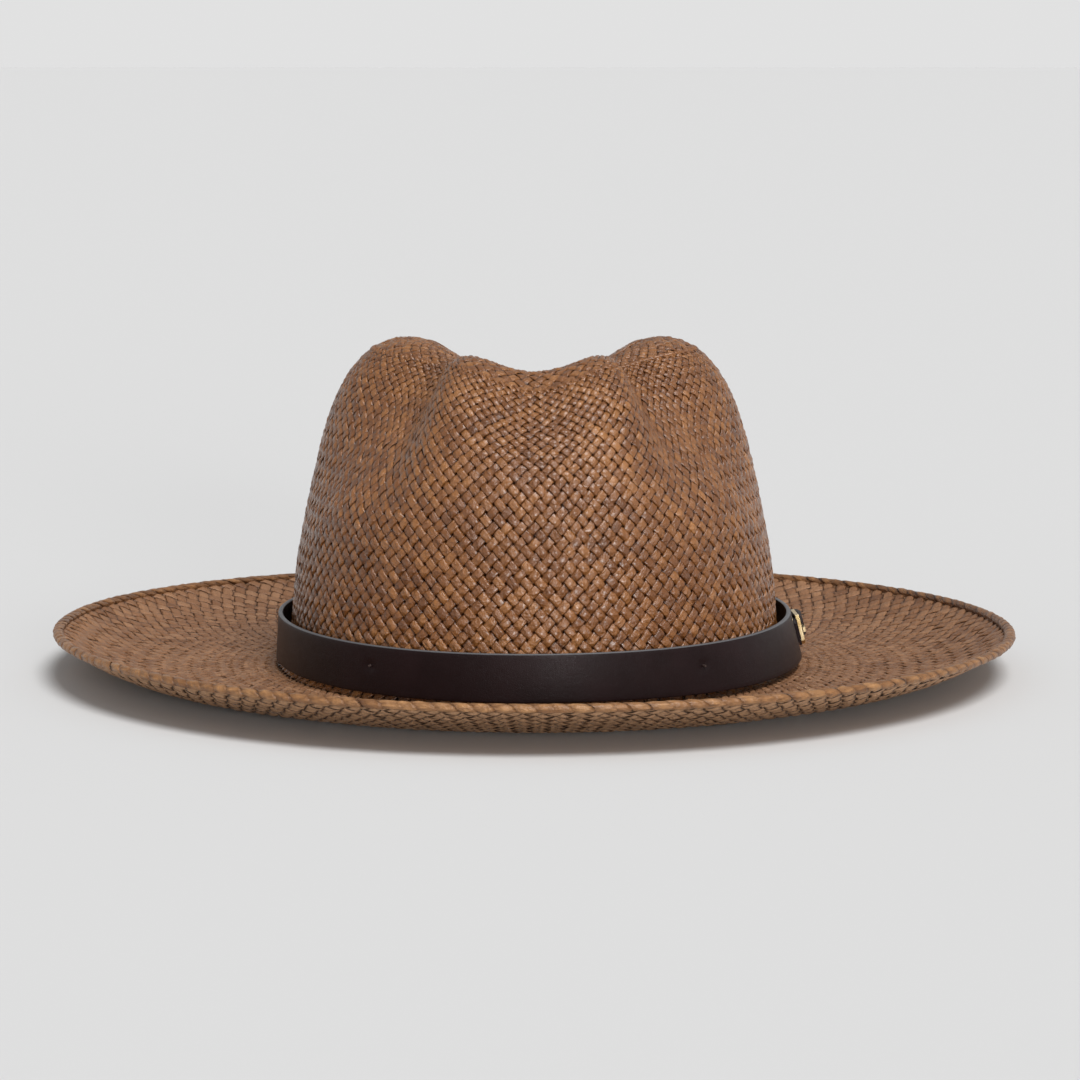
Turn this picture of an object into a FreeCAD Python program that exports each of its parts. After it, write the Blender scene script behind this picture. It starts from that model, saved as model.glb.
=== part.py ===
"""Panama hat with a leather hatband: woven crown and brim, braided rim, sweatband, buckle and keeper.

Millimetres. +Z is up and the front of the hat faces -Y, so the wearer's left is +X. The origin is
on the surface that the hat rests on, under the middle of its brim.
"""

import FreeCAD, Part
import math
import os

from FreeCAD import Placement, Rotation, Vector

DOC = FreeCAD.newDocument("panama_hat")

# ---------------------------------------------------------------- driving dimensions
SIZES = {
    "crown_half_width": 88.2,
    "crown_half_length": 104.7,
    "crown_height": 124.0,
    "crown_taper": 0.125,
    "dent_depth": 27.0,
    "pinch_share": 0.3,
    "straw_thickness": 2.0,
    "base_fillet": 4.0,
    "brim_side_reach": 82.8,
    "brim_end_reach": 85.3,
    "rim_width": 4.6,
    "rim_height": 3.8,
    "front_lift": 15.0,
    "left_lift": 14.2,
    "right_lift": 13.0,
    "back_lift": 9.0,
    "rim_wire_diameter": 1.9,
    "sweatband_height": 31.0,
    "sweatband_thickness": 1.0,
    "sweatband_gap": 0.25,
    "reed_diameter": 1.5,
    "stitch_diameter": 0.55,
    "bow_height": 4.5,
    "bow_reach": 11.0,
    "band_height": 16.3,
    "band_thickness": 1.6,
    "band_bottom": 4.2,
    "band_gap": 1.7,
    "buckle_lean": 4.2,
    "strap_width": 8.0,
    "strap_thickness": 1.0,
    "chape_thickness": 0.8,
    "bar_diameter": 1.4,
    "frame_length": 12.0,
    "frame_wall": 1.1,
    "prong_width": 1.7,
    "prong_thickness": 1.1,
    "prong_clearance": 0.06,
    "keeper_width": 5.0,
    "keeper_thickness": 0.6,
    "keeper_play": 0.4,
    "moving_gap": 0.3,
    "tack_diameter": 0.8,
}

sheet = DOC.addObject("Spreadsheet::Sheet", "sizes")
for row, (name, value) in enumerate(SIZES.items(), start=1):
    sheet.set("A%d" % row, name)
    sheet.set("B%d" % row, str(value))
    sheet.setAlias("B%d" % row, name)
DOC.recompute()


def size(name):
    """The value of a driving dimension, as the sheet holds it."""
    return float(sheet.get(name))


# ---------------------------------------------------------------- places that follow from the sizes
STRAW = size("straw_thickness")
HALF_WIDTH = size("crown_half_width")
HALF_LENGTH = size("crown_half_length")
HEIGHT = size("crown_height")
FILLET = size("base_fillet")
SHOULDER = 4.4          # exponent of the superellipse that rounds the wall into the tip
AROUND = 64             # control points round the hat
FLAT_SHARE = 0.42       # inner share of the brim that lies flat
RIM_OVERLAP = 0.15      # how far the sheet tucks into the rim

BAND_TOP = size("band_bottom") + size("band_height")
BAND_MIDDLE = size("band_bottom") + size("band_height") / 2.0

BAR_RADIUS = size("bar_diameter") / 2.0
LAYER_GAP = 0.08        # between two leather layers that lie on each other
BAR_STAND_OFF = 2.0 * LAYER_GAP + size("strap_thickness") + BAR_RADIUS
FRONT_BAR_AT = 2.0      # arc length behind the widest point of the band
REAR_BAR_AT = FRONT_BAR_AT + size("frame_length")
STRAP_START = FRONT_BAR_AT - 7.0
CHAPE_END = REAR_BAR_AT + 24.0
CHAPE_RETURN = REAR_BAR_AT + 6.5
KEEPER_AT = REAR_BAR_AT + 30.0
STRAP_TIP = REAR_BAR_AT + 44.0
BUCKLE_MIDDLE = (FRONT_BAR_AT + KEEPER_AT) * 0.45


def smooth(value):
    """A step from 0 to 1 with level ends."""
    value = min(1.0, max(0.0, value))
    return value * value * (3.0 - 2.0 * value)


def mix(low, high, share):
    return low + (high - low) * share


# ---------------------------------------------------------------- crown and brim surface
def meridian(count):
    """The unpinched crown from its base to its tip, as (radius share, height share), evenly spaced."""
    dense = []
    steps = 1500
    for step in range(steps + 1):
        turn = math.pi / 2.0 * step / steps
        height = math.sin(turn) ** (2.0 / SHOULDER)
        radius = max(0.0, math.cos(turn)) ** (2.0 / SHOULDER) if step < steps else 0.0
        dense.append((radius * (1.0 - size("crown_taper") * height), height))
    lengths = [0.0]
    for first, second in zip(dense, dense[1:]):
        run = math.hypot((second[0] - first[0]) * HALF_WIDTH, (second[1] - first[1]) * HEIGHT)
        lengths.append(lengths[-1] + run)
    points = []
    index = 0
    for step in range(count + 1):
        wanted = lengths[-1] * step / count
        while index < steps - 1 and lengths[index + 1] < wanted:
            index += 1
        share = (wanted - lengths[index]) / (lengths[index + 1] - lengths[index])
        share = min(1.0, share)
        points.append(tuple(mix(dense[index][k], dense[index + 1][k], share) for k in (0, 1)))
    return points


def pinch(azimuth, radius, height):
    """Share by which the two front pinches pull the wall in. azimuth is 0 at the front."""
    total = 0.0
    for side in (-1.0, 1.0):
        away = math.remainder(azimuth * side - math.radians(46.0), 2.0 * math.pi)
        spread = math.radians(13.0 if away < 0.0 else 30.0)
        start = 0.46 - 0.20 * smooth(away / math.radians(50.0)) + 0.05 * smooth(-away / math.radians(30.0))
        rise = smooth((height - start) / 0.44)
        total += math.exp(-((away / spread) ** 2)) * rise * (0.25 + 0.75 * smooth(radius / 0.5))
    return size("pinch_share") * total


def crown_point(angle, radius, height):
    """A point of the crown's outer face: radius and height are shares, angle is 0 at +X."""
    azimuth = math.atan2(math.cos(angle), -math.sin(angle))
    kept = radius * (1.0 - pinch(azimuth, radius, height))
    x = HALF_WIDTH * kept * math.cos(angle)
    y = HALF_LENGTH * kept * math.sin(angle)
    dent_width = mix(20.0, 32.0, smooth((y + 78.0) / 95.0))
    depth = mix(10.0, size("dent_depth"), smooth((y + 62.0) / 48.0))
    depth *= 1.0 - smooth((y - 34.0) / 58.0)
    depth *= math.exp(-((x / dent_width) ** 2)) * smooth((height - 0.6) / 0.35)
    back_drop = 10.0 * smooth((y - 10.0) / 80.0) * smooth((height - 0.5) / 0.5)
    return Vector(x, y, HEIGHT * height - depth - back_drop)


def brim_lift(angle, share):
    """Height of the brim's underside above its flat ring. share is 0 at the crown, 1 at the rim."""
    front = (1.0 - math.sin(angle)) / 2.0
    right = (1.0 + math.cos(angle)) / 2.0
    side = math.cos(angle) ** 2
    ends = mix(size("back_lift"), size("front_lift"), front)
    flat_ends = (size("back_lift") + size("front_lift")) / 2.0
    edge = ends + (mix(size("left_lift"), size("right_lift"), right) - flat_ends) * side
    power = mix(mix(1.8, 1.25, front), 2.3, side)
    rise = max(0.0, (share - FLAT_SHARE) / (1.0 - FLAT_SHARE))
    # a short level start keeps the flat ring truly flat under a power close to 1
    return edge * rise ** power * smooth(rise / 0.25 + 0.2)


def brim_point(angle, share, inset=0.0):
    """A point of the brim's upper face. inset moves the rim inwards."""
    reach_x = FILLET + (size("brim_side_reach") - FILLET - inset) * share
    reach_y = FILLET + (size("brim_end_reach") - FILLET - inset) * share
    x = (HALF_WIDTH + reach_x) * math.cos(angle)
    y = (HALF_LENGTH + reach_y) * math.sin(angle)
    return Vector(x, y, STRAW + brim_lift(angle, share))


def outer_net():
    """Rows of control points from the crown's tip, down the wall and out to the rim."""
    crown_rows = [pair for pair in reversed(meridian(30)) if pair[1] * HEIGHT > STRAW + FILLET]
    angles = [2.0 * math.pi * step / AROUND for step in range(AROUND)]
    rows = [[crown_point(angle, radius, height) for angle in angles] for radius, height in crown_rows]
    for turn in (0.0, 30.0, 60.0, 90.0):
        out = FILLET * (1.0 - math.cos(math.radians(turn)))
        z = STRAW + FILLET * (1.0 - math.sin(math.radians(turn)))
        rows.append(
            [
                Vector((HALF_WIDTH + out) * math.cos(angle), (HALF_LENGTH + out) * math.sin(angle), z)
                for angle in angles
            ]
        )
    brim_rows = 16
    inset = size("rim_width") - RIM_OVERLAP
    for step in range(1, brim_rows + 1):
        rows.append([brim_point(angle, step / brim_rows, inset) for angle in angles])
    return rows


def inward_net(rows, distance):
    """The same net moved inwards by distance along the surface's normals."""
    moved = []
    for i, row in enumerate(rows):
        above = rows[max(i - 1, 0)]
        below = rows[min(i + 1, len(rows) - 1)]
        new_row = []
        for j, point in enumerate(row):
            across = row[(j + 1) % AROUND] - row[j - 1]
            down = below[j] - above[j]
            normal = down.cross(across)
            if normal.Length < 1e-6:
                normal = Vector(0.0, 0.0, 1.0)
            normal.normalize()
            if normal.z < -0.5:
                normal = normal * -1.0
            new_row.append(point - normal * distance)
        moved.append(new_row)
    # the tip's first row is one point
    middle = Vector()
    for point in moved[1]:
        middle += point * (1.0 / AROUND)
    moved[0] = [middle] * AROUND
    return moved


def closed_knots(count):
    """Knots and multiplicities of a periodic cubic with count poles."""
    return list(range(count + 1)), [1] * (count + 1)


def open_knots(count, degree=3):
    """Knots and multiplicities of a clamped spline with count poles."""
    inner = count - degree
    return list(range(inner + 1)), [degree + 1] + [1] * (inner - 1) + [degree + 1]


def solid_of(surface):
    """The solid that a closed surface holds."""
    solid = Part.Solid(Part.Shell([surface.toShape()]))
    if solid.Volume < 0.0:
        solid = Part.Solid(Part.Shell([surface.toShape().reversed()]))
    return solid


def ring_like(rows):
    """A solid ring: each row of poles is one closed section, and the rows go round the hat."""
    surface = Part.BSplineSurface()
    u_knots, u_mults = closed_knots(len(rows))
    v_knots, v_mults = closed_knots(len(rows[0]))
    surface.buildFromPolesMultsKnots(rows, u_mults, v_mults, u_knots, v_knots, True, True, 3, 3)
    return solid_of(surface)


def rounded_section(low, high, thickness):
    """Poles of a strap's section from its low corner to its high one, thickness to the inside."""
    along = high - low
    length = along.Length
    along.normalize()
    flat = Vector(along.z, 0.0, -along.x)
    if flat.x > 0.0:
        flat = flat * -1.0
    end = thickness * 0.45
    stations = [0.0, end, length * 0.35, length * 0.65, length - end, length]
    outer = [low + along * station for station in stations]
    inner = [point + flat * thickness for point in reversed(outer)]
    return outer + inner


def ring_from_sections(section_at, count=AROUND):
    """A ring whose section at each angle is section_at(angle), poles as (outward share, z) vectors."""
    rows = []
    for step in range(count):
        angle = 2.0 * math.pi * step / count
        rows.append([Vector(*point) for point in section_at(angle)])
    return ring_like(rows)


def ellipse_point(angle, offset, z):
    """A point offset outwards from the crown's base ellipse, at a height."""
    x = (HALF_WIDTH + offset) * math.cos(angle)
    y = (HALF_LENGTH + offset) * math.sin(angle)
    return (x, y, z)


def add_shape(name, shape):
    """A sub-part whose shape is computed here rather than by a feature."""
    feature = DOC.addObject("Part::Feature", name)
    feature.Label = name
    feature.Shape = shape
    feature.Placement = Placement()
    return feature


# ---------------------------------------------------------------- straw pieces
def skin_of(rows):
    """The surface over rows of poles that close round the hat, and stop at the first and last row."""
    surface = Part.BSplineSurface()
    v_knots, v_mults = closed_knots(len(rows[0]))
    u_knots, u_mults = open_knots(len(rows))
    surface.buildFromPolesMultsKnots(rows, u_mults, v_mults, u_knots, v_knots, False, True, 3, 3)
    return surface


def straw_body():
    """Crown and brim, woven in one piece, as one closed skin with a flat ring that the hat rests on."""
    outer = outer_net()
    inner = inward_net(outer, STRAW)
    outer[0] = [outer[0][0]] * AROUND
    level = [index for index, row in enumerate(inner) if max(abs(point.z) for point in row) < 0.01]
    first, last = level[1], level[-1]
    ring_in = [Vector(point.x, point.y, 0.0) for point in inner[first]]
    ring_out = [Vector(point.x, point.y, 0.0) for point in inner[last]]
    outside = skin_of(outer + list(reversed(inner[last + 1 :])) + [ring_out])
    inside = skin_of([ring_in] + list(reversed(inner[:first])))
    edges = [outside.uIso(outside.bounds()[1]).toShape(), inside.uIso(inside.bounds()[0]).toShape()]
    ring = Part.makeFace([Part.Wire([edge]) for edge in edges], "Part::FaceMakerBullseye")
    shell = Part.makeShell([outside.toShape(), inside.toShape()] + ring.Faces)
    shell.sewShape()
    solid = Part.Solid(shell)
    if solid.Volume < 0.0:
        solid.reverse()
    return add_shape("straw_body", solid)


def rim_centre(angle):
    """The middle of the braided rim."""
    edge = brim_point(angle, 1.0)
    inwards = size("rim_width") / 2.0
    return Vector(
        edge.x - inwards * math.cos(angle), edge.y - inwards * math.sin(angle), edge.z - STRAW / 2.0
    )


def tube_section(centre, angle, half_width, half_height, count=12):
    points = []
    for step in range(count):
        turn = 2.0 * math.pi * step / count
        out = half_width * math.cos(turn)
        points.append(
            (
                centre.x + out * math.cos(angle),
                centre.y + out * math.sin(angle),
                centre.z + half_height * math.sin(turn),
            )
        )
    return points


def brim_rim():
    """The strand ends, turned back and braided into a thick rim."""

    def section(angle):
        # poles stand outside the curve that they pull, so the section is drawn a little larger
        swell = 1.05
        half_width = swell * size("rim_width") / 2.0
        return tube_section(rim_centre(angle), angle, half_width, swell * size("rim_height") / 2.0)

    return add_shape("brim_rim", ring_from_sections(section))


def rim_wire():
    """The spring wire inside the rim, which keeps the brim's shape."""

    def section(angle):
        radius = size("rim_wire_diameter") / 2.0
        return tube_section(rim_centre(angle), angle, radius, radius, 8)

    return add_shape("rim_wire", ring_from_sections(section))


# ---------------------------------------------------------------- sweatband
SWEAT_BOTTOM = 3.0
SWEAT_FACE = -(STRAW + size("sweatband_gap"))


def wall_offset(z):
    """How far the crown's outer wall stands inside its base ellipse, at a height."""
    share = z / HEIGHT
    radius = (1.0 - share ** SHOULDER) ** (1.0 / SHOULDER) * (1.0 - size("crown_taper") * share)
    return (radius - 1.0) * HALF_WIDTH


def sweatband():
    """A leather strip inside the crown's base."""
    top = SWEAT_BOTTOM + size("sweatband_height")

    def section(angle):
        thickness = size("sweatband_thickness")
        outer = []
        for step in range(6):
            z = mix(SWEAT_BOTTOM, top, step / 5.0)
            outer.append((SWEAT_FACE + wall_offset(z) * 1.25, z))
        inner = [(offset - thickness, z) for offset, z in reversed(outer)]
        return [ellipse_point(angle, offset, z) for offset, z in outer + inner]

    return add_shape("sweatband", ring_from_sections(section))


REED_OFFSET = SWEAT_FACE - size("sweatband_thickness") / 2.0
REED_Z = SWEAT_BOTTOM - size("reed_diameter") / 2.0 - 0.05


def sweatband_reed():
    """The thin round reed along the sweatband's lower edge, which is sewn to the crown."""

    def section(angle):
        radius = size("reed_diameter") / 2.0
        centre = Vector(*ellipse_point(angle, REED_OFFSET, REED_Z))
        return tube_section(centre, angle, radius, radius, 8)

    return add_shape("sweatband_reed", ring_from_sections(section))


def sweatband_stitches():
    """Short stitches that go through the sweatband's lower edge into the straw."""
    radius = size("stitch_diameter") / 2.0
    z = SWEAT_BOTTOM + 2.2
    stitches = []
    count = 60
    for step in range(count):
        angle = 2.0 * math.pi * (step + 0.5) / count
        inside = Vector(*ellipse_point(angle, SWEAT_FACE - size("sweatband_thickness") - 0.3, z))
        outside = Vector(*ellipse_point(angle, SWEAT_FACE + 0.9, z))
        run = outside - inside
        stitches.append(Part.makeCylinder(radius, run.Length, inside, run))
    return add_shape("sweatband_stitches", Part.makeCompound(stitches))


def sweatband_bow():
    """A small flat ribbon bow on the sweatband's back seam."""
    z = SWEAT_BOTTOM + 9.0
    y = HALF_LENGTH + SWEAT_FACE - size("sweatband_thickness") - 4.2
    reach = size("bow_reach")
    tall = size("bow_height")
    knot = Part.makeBox(3.0, 2.4, tall * 0.9, Vector(-1.5, y - 1.2, z - tall * 0.45))
    loops = []
    for side in (-1.0, 1.0):
        middle = Vector(side * (reach / 2.0 + 1.0), y, z - tall / 2.0)
        outline = Part.Ellipse(middle, reach / 2.0, 1.5)
        hole = Part.Ellipse(middle, reach / 2.0 - 0.5, 1.0)
        flat = Part.Face([Part.Wire([outline.toShape()]), Part.Wire([hole.toShape().reversed()])])
        loops.append(flat.extrude(Vector(0.0, 0.0, tall)))
    bow = knot.fuse(loops)
    return add_shape("sweatband_bow", bow.removeSplitter())


# ---------------------------------------------------------------- hatband
def buckle_side(angle):
    """1 where the band carries the buckle, on the wearer's left, falling to 0 round the rest."""
    return smooth((math.cos(angle) - 0.25) / 0.55)


def band_offsets(angle):
    """How far the band's outer face stands off the crown ellipse, at its top and its bottom."""
    stand = size("band_gap") + size("band_thickness")
    lean = mix(0.9, size("buckle_lean"), buckle_side(angle))
    return stand, stand + lean


def hatband():
    """The wide leather strap round the crown, flared over the curve where the brim starts."""

    def section(angle):
        top_offset, bottom_offset = band_offsets(angle)
        low = Vector(bottom_offset, 0.0, size("band_bottom"))
        high = Vector(top_offset, 0.0, BAND_TOP)
        poles = rounded_section(low, high, size("band_thickness"))
        return [ellipse_point(angle, pole.x, pole.z) for pole in poles]

    return add_shape("hatband", ring_from_sections(section))


def band_tacks():
    """Four thread tacks that hold the band to the crown."""
    radius = size("tack_diameter") / 2.0
    tacks = []
    for degrees in (-52.0, -127.0, 60.0, 120.0):
        angle = math.radians(degrees)
        z = BAND_MIDDLE + 1.0
        stand = sum(band_offsets(angle)) / 2.0
        inside = Vector(*ellipse_point(angle, -1.0, z))
        outside = Vector(*ellipse_point(angle, stand + 0.2, z))
        run = outside - inside
        tacks.append(Part.makeCylinder(radius, run.Length, inside, run))
    return add_shape("band_tacks", Part.makeCompound(tacks))


# ---------------------------------------------------------------- buckle, in its own upright frame
# X points out of the band, Y runs back along it and Z up it. Near the band's widest point the band
# is a circle of this radius, so the pieces that lie on it are bent round that circle.
TOP_OFFSET, BOTTOM_OFFSET = band_offsets(0.0)
MIDDLE_OFFSET = (TOP_OFFSET + BOTTOM_OFFSET) / 2.0
BEND = (HALF_LENGTH + MIDDLE_OFFSET) ** 2 / (HALF_WIDTH + MIDDLE_OFFSET)
LEAN = math.degrees(math.atan2(BOTTOM_OFFSET - TOP_OFFSET, size("band_height")))
LAYER = 0.12            # nothing on the band comes nearer to it than this


def band_place(along):
    """A frame that stands on the leaning band at an arc length behind the band's widest point."""
    turn = along / BEND
    x = HALF_WIDTH + MIDDLE_OFFSET - BEND * (1.0 - math.cos(turn))
    round_hat = Rotation(Vector(0, 0, 1), math.degrees(turn))
    lean = Rotation(Vector(0, 1, 0), -LEAN)
    return Placement(Vector(x, BEND * math.sin(turn), BAND_MIDDLE), round_hat.multiply(lean))


def buckle_place():
    """From the buckle's frame to the hat's, at the middle of the buckle's pieces."""
    return band_place(BUCKLE_MIDDLE)


def on_band(along, out, up=0.0):
    """A point out from the band's face, at an arc length behind the band's widest point."""
    turn = (along - BUCKLE_MIDDLE) / BEND
    radius = BEND + out
    return Vector(radius * math.cos(turn) - BEND, radius * math.sin(turn), up)


def band_turn(along):
    """Placement of a flat piece that stands on the band at an arc length."""
    turn = (along - BUCKLE_MIDDLE) / BEND
    return Placement(on_band(along, 0.0), Rotation(Vector(0, 0, 1), math.degrees(turn)))


def strip(profile, thickness, half_width):
    """A leather strip: profile holds (along, out) of its middle line, from one end to the other."""
    sides = []
    for sign in (-0.5, 0.5):
        points = []
        for index, (along, out) in enumerate(profile):
            before = profile[max(index - 1, 0)]
            after = profile[min(index + 1, len(profile) - 1)]
            slope = Vector(after[0] - before[0], after[1] - before[1], 0.0)
            slope.normalize()
            points.append(
                on_band(along - slope.y * thickness * sign, out + slope.x * thickness * sign, -half_width)
            )
        curve = Part.BSplineCurve()
        curve.interpolate(points)
        sides.append(curve.toShape())
    first, second = sides
    ends = [
        Part.makeLine(first.valueAt(first.FirstParameter), second.valueAt(second.FirstParameter)),
        Part.makeLine(first.valueAt(first.LastParameter), second.valueAt(second.LastParameter)),
    ]
    wire = Part.Wire(Part.__sortEdges__([first, ends[1], second, ends[0]]))
    return Part.Face(wire).extrude(Vector(0.0, 0.0, 2.0 * half_width))


STRAP_LOW = LAYER + size("strap_thickness") / 2.0
CHAPE_RADIUS = BAR_RADIUS + LAYER_GAP + size("chape_thickness") / 2.0
CHAPE_LOW = BAR_STAND_OFF - CHAPE_RADIUS
CHAPE_HIGH = BAR_STAND_OFF + CHAPE_RADIUS
STRAP_OVER = CHAPE_HIGH + (size("chape_thickness") + size("strap_thickness")) / 2.0 + 2.0 * LAYER_GAP
STRAP_BEHIND = CHAPE_LOW + (size("chape_thickness") + size("strap_thickness")) / 2.0 + LAYER_GAP


def buckle_strap():
    """The band's narrow end: under the frame's front bar, over its rear bar, then through the keeper."""
    profile = [
        (STRAP_START, STRAP_LOW),
        (STRAP_START + 3.0, STRAP_LOW),
        (FRONT_BAR_AT - 1.5, STRAP_LOW),
        (FRONT_BAR_AT + 2.0, STRAP_LOW),
        (mix(FRONT_BAR_AT, REAR_BAR_AT, 0.42), mix(STRAP_LOW, STRAP_OVER, 0.31)),
        (mix(FRONT_BAR_AT, REAR_BAR_AT, 0.67), mix(STRAP_LOW, STRAP_OVER, 0.63)),
        (mix(FRONT_BAR_AT, REAR_BAR_AT, 0.92), mix(STRAP_LOW, STRAP_OVER, 0.96)),
        (REAR_BAR_AT + 1.0, STRAP_OVER + 0.1),
        (REAR_BAR_AT + 3.0, STRAP_OVER),
        (CHAPE_RETURN - 1.0, STRAP_OVER - 0.15),
        (CHAPE_RETURN + 2.5, mix(STRAP_OVER, STRAP_BEHIND, 0.75)),
        (CHAPE_RETURN + 4.5, mix(STRAP_OVER, STRAP_BEHIND, 0.97)),
        (CHAPE_RETURN + 6.5, STRAP_BEHIND),
        (CHAPE_RETURN + 8.5, STRAP_BEHIND),
        (CHAPE_END - 4.0, STRAP_BEHIND),
        (CHAPE_END + 1.0, STRAP_BEHIND),
        (KEEPER_AT, STRAP_BEHIND - 0.2),
        (STRAP_TIP, STRAP_BEHIND - 0.3),
    ]
    half = size("strap_width") / 2.0
    body = strip(profile, size("strap_thickness"), half)
    # the tip is a blunt point: a corner prism, square to the band, is cut away above and below it
    shoulder = on_band(STRAP_TIP - 8.0, 0.0).y
    point = on_band(STRAP_TIP - 0.6, 0.0).y
    beyond = point + 4.0
    for sign in (1.0, -1.0):
        outline = [(shoulder, half), (beyond, half), (beyond, 0.9), (point, 0.9), (shoulder, half)]
        corner = Part.Face(Part.makePolygon([Vector(-20.0, y, z * sign) for y, z in outline]))
        body = body.cut(corner.extrude(Vector(40.0, 0.0, 0.0)))
    slot_half = size("prong_width") / 2.0 + size("moving_gap")
    slot_start = on_band(mix(FRONT_BAR_AT, REAR_BAR_AT, 0.36), 0.0).y
    slot_end = on_band(REAR_BAR_AT - 0.4, 0.0).y
    slot = Part.makeBox(
        9.0, slot_end - slot_start, 2.0 * slot_half, Vector(-2.0, slot_start, -slot_half)
    )
    return place_in_buckle("buckle_strap", body.cut(slot))


def buckle_chape():
    """The leather tab that folds round the buckle's bar and is sewn to the band behind it."""
    turns = [math.radians(degrees) for degrees in (-60.0, -25.0, 0.0, 25.0, 60.0)]
    fold = [
        (REAR_BAR_AT - CHAPE_RADIUS * math.cos(turn), BAR_STAND_OFF + CHAPE_RADIUS * math.sin(turn))
        for turn in turns
    ]
    profile = [
        (CHAPE_END, CHAPE_LOW),
        (mix(CHAPE_END, REAR_BAR_AT, 0.4), CHAPE_LOW),
        (REAR_BAR_AT + 8.0, CHAPE_LOW),
        (REAR_BAR_AT + 3.5, CHAPE_LOW),
        (REAR_BAR_AT + 0.9, CHAPE_LOW),
    ]
    profile += fold
    profile += [
        (REAR_BAR_AT + 0.9, CHAPE_HIGH),
        (REAR_BAR_AT + 3.0, CHAPE_HIGH - 0.15),
        (CHAPE_RETURN, CHAPE_HIGH - 0.9),
    ]
    body = strip(profile, size("chape_thickness"), size("strap_width") / 2.0)
    slot_half = size("prong_width") / 2.0 + size("moving_gap")
    slot_start = on_band(REAR_BAR_AT - 3.4, 0.0).y
    slot = Part.makeBox(9.0, 6.4, 2.0 * slot_half, Vector(-2.0, slot_start, -slot_half))
    return place_in_buckle("buckle_chape", body.cut(slot))


def place_in_buckle(name, shape):
    feature = add_shape(name, shape)
    feature.Placement = buckle_place()
    return feature


def origin_plane(body, role):
    """A body's own origin plane."""
    return [item for item in body.Origin.OriginFeatures if item.Role == role][0]


def new_body(name):
    body = DOC.addObject("PartDesign::Body", name)
    body.Label = name
    return body


def new_sketch(body, name, role, offset=Placement()):
    sketch = body.newObject("Sketcher::SketchObject", name)
    sketch.AttachmentSupport = [(origin_plane(body, role), "")]
    sketch.MapMode = "FlatFace"
    sketch.AttachmentOffset = offset
    return sketch


def add_outline(sketch, points):
    """A closed outline of straight lines."""
    for first, second in zip(points, points[1:] + points[:1]):
        sketch.addGeometry(Part.LineSegment(Vector(*first), Vector(*second)))


def add_pad(body, name, sketch, length):
    """A pad to both sides of its sketch, length being an expression of the sheet's values."""
    pad = body.newObject("PartDesign::Pad", name)
    pad.Profile = sketch
    pad.Midplane = True
    pad.setExpression("Length", length)
    body.Tip = pad
    return pad


def buckle_frame_place():
    """The frame is flat, so it stands square to the band half way between its two bars."""
    middle = (FRONT_BAR_AT + REAR_BAR_AT) / 2.0
    return buckle_place().multiply(band_turn(middle))


def bar_in_frame():
    """The rear bar's axis in the flat frame's own coordinates, as (out, along)."""
    point = on_band(REAR_BAR_AT, BAR_STAND_OFF)
    local = band_turn((FRONT_BAR_AT + REAR_BAR_AT) / 2.0).inverse().multVec(point)
    return local.x, local.y


BAR_OUT, BAR_ALONG = bar_in_frame()


def buckle_frame():
    """A flat brass frame, open at the rear where the bar closes it."""
    body = new_body("buckle_frame")
    half = size("strap_width") / 2.0 + size("moving_gap")
    outer = half + size("frame_wall")
    front = -BAR_ALONG - BAR_RADIUS
    rear = BAR_ALONG + BAR_RADIUS + 0.3
    front_inner = front + 2.0 * BAR_RADIUS
    corner = 1.6
    # the YZ plane's sketch axes are the body's Y and Z
    sketch = new_sketch(body, "frame_outline", "YZ_Plane", Placement(Vector(0, 0, BAR_OUT), Rotation()))
    add_outline(
        sketch,
        [
            (rear, outer, 0),
            (front + corner, outer, 0),
            (front, outer - corner, 0),
            (front, corner - outer, 0),
            (front + corner, -outer, 0),
            (rear, -outer, 0),
            (rear, -half, 0),
            (front_inner, -half, 0),
            (front_inner, half, 0),
            (rear, half, 0),
        ],
    )
    plate = add_pad(body, "frame_plate", sketch, "sizes.bar_diameter")
    DOC.recompute()
    soft = body.newObject("PartDesign::Fillet", "frame_rounding")
    edges = [
        "Edge%d" % (index + 1)
        for index, edge in enumerate(plate.Shape.Edges)
        if abs(edge.Vertexes[0].Point.x - edge.Vertexes[-1].Point.x) < 1e-6
    ]
    soft.Base = (plate, edges)
    soft.Radius = 0.18 * size("frame_wall")
    body.Tip = soft
    body.Placement = buckle_frame_place()
    return body


def buckle_bar():
    """The round bar that the prong turns on."""
    bar = DOC.addObject("Part::Cylinder", "buckle_bar")
    bar.Label = "buckle_bar"
    bar.setExpression("Radius", "sizes.bar_diameter / 2")
    bar.setExpression("Height", "sizes.strap_width + 2 * sizes.moving_gap")
    lower = -(size("strap_width") / 2.0 + size("moving_gap"))
    bar.Placement = buckle_frame_place().multiply(Placement(Vector(BAR_OUT, BAR_ALONG, lower), Rotation()))
    return bar


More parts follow.
